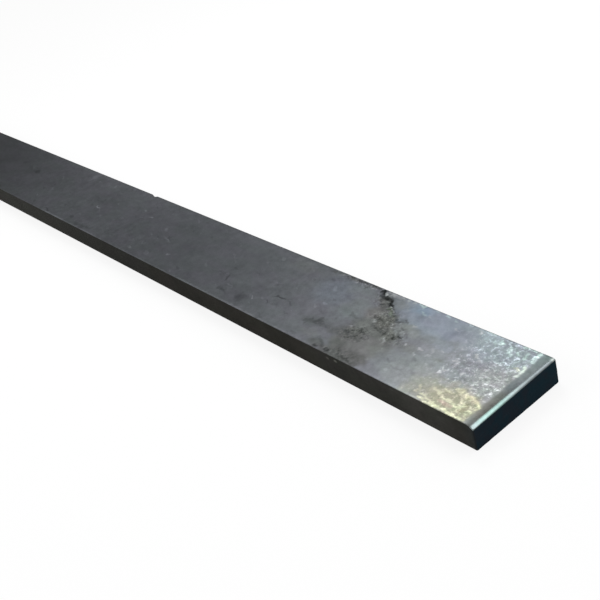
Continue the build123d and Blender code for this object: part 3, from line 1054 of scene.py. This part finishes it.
# Light flecks on the -Y side, near its upper corner: (from the cut, height, how much lighter).
SIDE_FLECKS = ((66.6, 8.4, 3.0), (71.2, 7.9, 1.5))


def marked(finish, tone):
    """The tone with the single marks on it."""
    ragged = finish.pushed(*FAR_MARK_PUSH)
    for place, reach, turn, strength in FAR_MARKS:
        spot = finish.spot(ragged, (*place, THICKNESS / MM), (*reach, 3.0), turn)
        tone = tone * (1.0 + FAR_MARK_GAIN * strength * spot)
    for place, height, strength in SIDE_FLECKS:
        spot = finish.spot(finish.mm, (place, -HALF_WIDTH / MM, height), (1.3, 1.0, 0.8))
        tone = tone * (1.0 + strength * spot)
    return tone


def mill_scale():
    """Blue-grey rolling scale on the broad faces, duller and darker round the narrow sides, where
    the darker colour is painted shade. Its colour is the skin's own, times a tone that is 1 where
    nothing makes it lighter or darker."""
    finish = Finish("mill_scale", {"Specular IOR Level": 0.01, "Specular Tint": rgba((0.5,) * 3)})
    speckle, crust, broken = (finish.field(name) for name in ("speckle", "crust", "broken"))

    # Clouds drawn out along the bar, smaller unevenness, and the single marks.
    streaked = finish.stretched((2.0, 1.0, 1.0))
    cloud = finish.noise(streaked, 9.0)
    uneven = finish.noise(finish.mm, 3.2, detail=4.0, keep=0.75)
    tone = 1.0 + 0.40 * (cloud - 0.5) + 1.2 * finish.field("unrest") * (uneven - 0.5)
    tone = marked(finish, tone)

    # Light flecks, which come in clusters, with dark hollows and lighter blobs between them: partly
    # pale bare metal and partly painted glints of the rough scale.
    grit = finish.noise(finish.mm, 1.4, detail=3.0, keep=0.65)
    fleck_and_glint = finish.between(grit + 0.05 * speckle, 0.56, 0.69) * speckle * (1.0 - 0.45 * crust)
    hollow = (1.0 - finish.between(grit, 0.30, 0.48)) * speckle * (1.0 - 0.6 * crust)
    cluster = 0.65 + 0.7 * finish.between(finish.noise(finish.mm, 6.0, detail=1.0), 0.35, 0.65)
    tone = tone * (1.0 + 0.88 * fleck_and_glint * cluster) * (1.0 - 0.26 * hollow)
    blob = finish.between(finish.noise(finish.mm, 3.0, keep=0.6), 0.58, 0.68)
    tone = tone * (1.0 + 0.36 * blob * speckle * (1.0 - crust))

    # Pits and crumbs in the broken ground.
    tone = tone * (1.0 - 0.50 * broken * (1.0 - finish.between(grit, 0.36, 0.50)))
    tone = tone * (1.0 + 0.55 * broken * finish.between(grit, 0.52, 0.66))

    # A few stray flecks and scuffs, wherever the marks above leave the scale plain.
    stray = finish.noise(finish.stretched((1.8, 1.0, 1.0), -25.0), 3.4, detail=1.0)
    tone = tone * (1.0 + 0.22 * finish.between(stray, 0.70, 0.76))
    tone = tone * (1.0 - 0.16 * (1.0 - finish.between(stray, 0.24, 0.30)))

    # Patches of the scale lean to teal and others to violet, and smaller ones do in the speckles.
    wide_cast = finish.cast(streaked, 7.0, (0.978, 1.005, 0.984), (1.015, 0.998, 1.022))
    fine_cast = finish.cast(finish.mm, 2.4, (0.972, 1.004, 0.975), (1.020, 0.998, 1.025))
    colour = finish.mix(1.0, finish.field("scale_colour", "Color"), wide_cast, "MULTIPLY")
    colour = finish.mix(speckle, colour, fine_cast, "MULTIPLY")
    colour = finish.scaled(colour, tone)

    # The crust has pale veins, along the middle height of some hills, and brown hollows.
    ridges = finish.noise(finish.mm, 3.4, keep=0.6, distort=0.8)
    vein = 1.0 - finish.between(abs(ridges - 0.5), 0.0, 0.05)
    colour = finish.mix(0.15 * crust * vein, colour, rgba(CREAM))
    colour = finish.mix(0.25 * crust * hollow, colour, rgba(BROWN))

    narrow, polish = finish.field("narrow"), finish.field("polish")
    finish.drive("Base Color", colour)
    finish.drive("Metallic", 1.0 - narrow)
    finish.drive("Roughness", 0.36 + 0.10 * (uneven - 0.5) - 0.10 * polish + 0.2 * narrow)
    finish.drive("Normal", finish.bump(0.5 * uneven + 0.5 * fleck_and_glint, 0.015 * MM))
    return finish.material


def cut_steel_painted_shade():
    """The sheared ends, in painted shade: near black, with a painted cold reflection."""
    finish = Finish("cut_steel_painted_shade", {"Specular IOR Level": 0.01, "Roughness": 0.5})
    cloud = finish.between(finish.noise(finish.mm, 6.0, detail=3.0, keep=0.6), 0.35, 0.65)
    # Both colours are painted: the near black is shade and the blue a reflection.
    dark, blue = rgba((0.0085, 0.0125, 0.0175)), rgba((0.0050, 0.0140, 0.0200))
    finish.drive("Base Color", finish.mix(cloud, dark, blue))
    return finish.material


mesh = bar_mesh("flat_bar_skin")
bar = bpy.data.objects.new("flat_bar_skin", mesh)
bpy.context.scene.collection.objects.link(bar)
mesh.materials.append(mill_scale())
mesh.materials.append(cut_steel_painted_shade())

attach(bar, "root")
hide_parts("flat_bar")

# ---------------------------------------------------------------------------------------------
# Floor, lamps and camera
# ---------------------------------------------------------------------------------------------

FLOOR = 60.0  # half its width
PALE = rgba((0.8, 0.8, 0.8))

# Soft lamps: (name, azimuth, elevation, distance, size, radiance). See lamp() for the angles.
LAMPS = (
    ("key_softbox", 150.0, 50.0, 0.6, (0.21, 0.21), 7.0),
    ("end_softbox", 63.0, 50.0, 1.5, (1.7, 1.0), 1.75),
    ("front_softbox", 227.0, 30.0, 1.5, (0.8, 0.8), 2.0),
)

# The camera: its lens and sensor in millimetres, where it stands, and the turn that brings the
# world's axes to its own, right, down and forward: a vector to turn about, as long as the angle.
CAMERA_LENS = 62.752
CAMERA_SENSOR = 36.0
CAMERA_PLACE = (HALF_LENGTH + 0.193559, -0.177149, 0.224189)
CAMERA_TURN = Vector((2.0769043, 0.80694205, -0.77779661))


def paper():
    """White floor paper. To the camera, and in metal or glass, most of its white is its own, and
    the rest is how it is lit, so that a light shadow stays on it."""
    finish = Finish("paper", {"Base Color": PALE, "Roughness": 0.9, "Specular IOR Level": 0.0})
    seen = finish.node("ShaderNodeLightPath", output="Is Camera Ray")
    seen = seen + finish.node("ShaderNodeLightPath", output="Is Glossy Ray")
    seen = seen + finish.node("ShaderNodeLightPath", output="Is Transmission Ray")
    white = finish.node("ShaderNodeEmission", inputs={"Strength": 0.99}, output="Emission")
    lit = Signal(finish, finish.shader.outputs["BSDF"])
    mixed = finish.node("ShaderNodeMixShader", inputs={0: 0.85 * seen, 1: lit, 2: white})
    finish.feed(finish.tree.nodes["Material Output"].inputs["Surface"], mixed)
    return finish.material


floor_mesh = bpy.data.meshes.new("floor")
corners = ((-FLOOR, -FLOOR, 0.0), (FLOOR, -FLOOR, 0.0), (FLOOR, FLOOR, 0.0), (-FLOOR, FLOOR, 0.0))
floor_mesh.from_pydata(corners, [], [(0, 1, 2, 3)])
floor = bpy.data.objects.new("floor", floor_mesh)
bpy.context.scene.collection.objects.link(floor)
floor_mesh.materials.append(paper())

world = bpy.data.worlds.new("studio")
world.use_nodes = True
world.node_tree.nodes["Background"].inputs["Color"].default_value = PALE
bpy.context.scene.world = world


def lamp(name, aim, azimuth, elevation, distance, size, radiance):
    """A soft rectangular lamp that looks at aim. It stands at a distance from there, in a
    direction given by azimuth, from +X towards +Y, and by elevation, both in degrees. Its power
    is its radiance times pi times its area."""
    data = bpy.data.lights.new(name, "AREA")
    data.shape = "RECTANGLE"
    data.size, data.size_y = size
    data.energy = radiance * math.pi * size[0] * size[1]
    a, e = math.radians(azimuth), math.radians(elevation)
    away = Vector((math.cos(a) * math.cos(e), math.sin(a) * math.cos(e), math.sin(e)))
    made = bpy.data.objects.new(name, data)
    made.location = Vector(aim) + away * distance
    made.rotation_euler = away.to_track_quat("Z", "Y").to_euler()
    made.visible_camera = False
    bpy.context.scene.collection.objects.link(made)


for lamp_name, *stand in LAMPS:
    lamp(lamp_name, (HALF_LENGTH, 0.0, THICKNESS), *stand)

camera_data = bpy.data.cameras.new("camera")
camera_data.sensor_width = CAMERA_SENSOR
camera_data.lens = CAMERA_LENS
camera_data.clip_start = 0.01
camera = bpy.data.objects.new("camera", camera_data)
bpy.context.scene.collection.objects.link(camera)
bpy.context.scene.camera = camera

# Blender's camera has its Y up and looks along its own -Z.
world_to_camera = Matrix.Rotation(CAMERA_TURN.length, 3, CAMERA_TURN.normalized())
down_and_forward = Matrix(((1, 0, 0), (0, -1, 0), (0, 0, -1)))
turned = (world_to_camera.transposed() @ down_and_forward).to_4x4()
camera.matrix_world = Matrix.Translation(CAMERA_PLACE) @ turned

bpy.context.scene.view_settings.view_transform = "Standard"
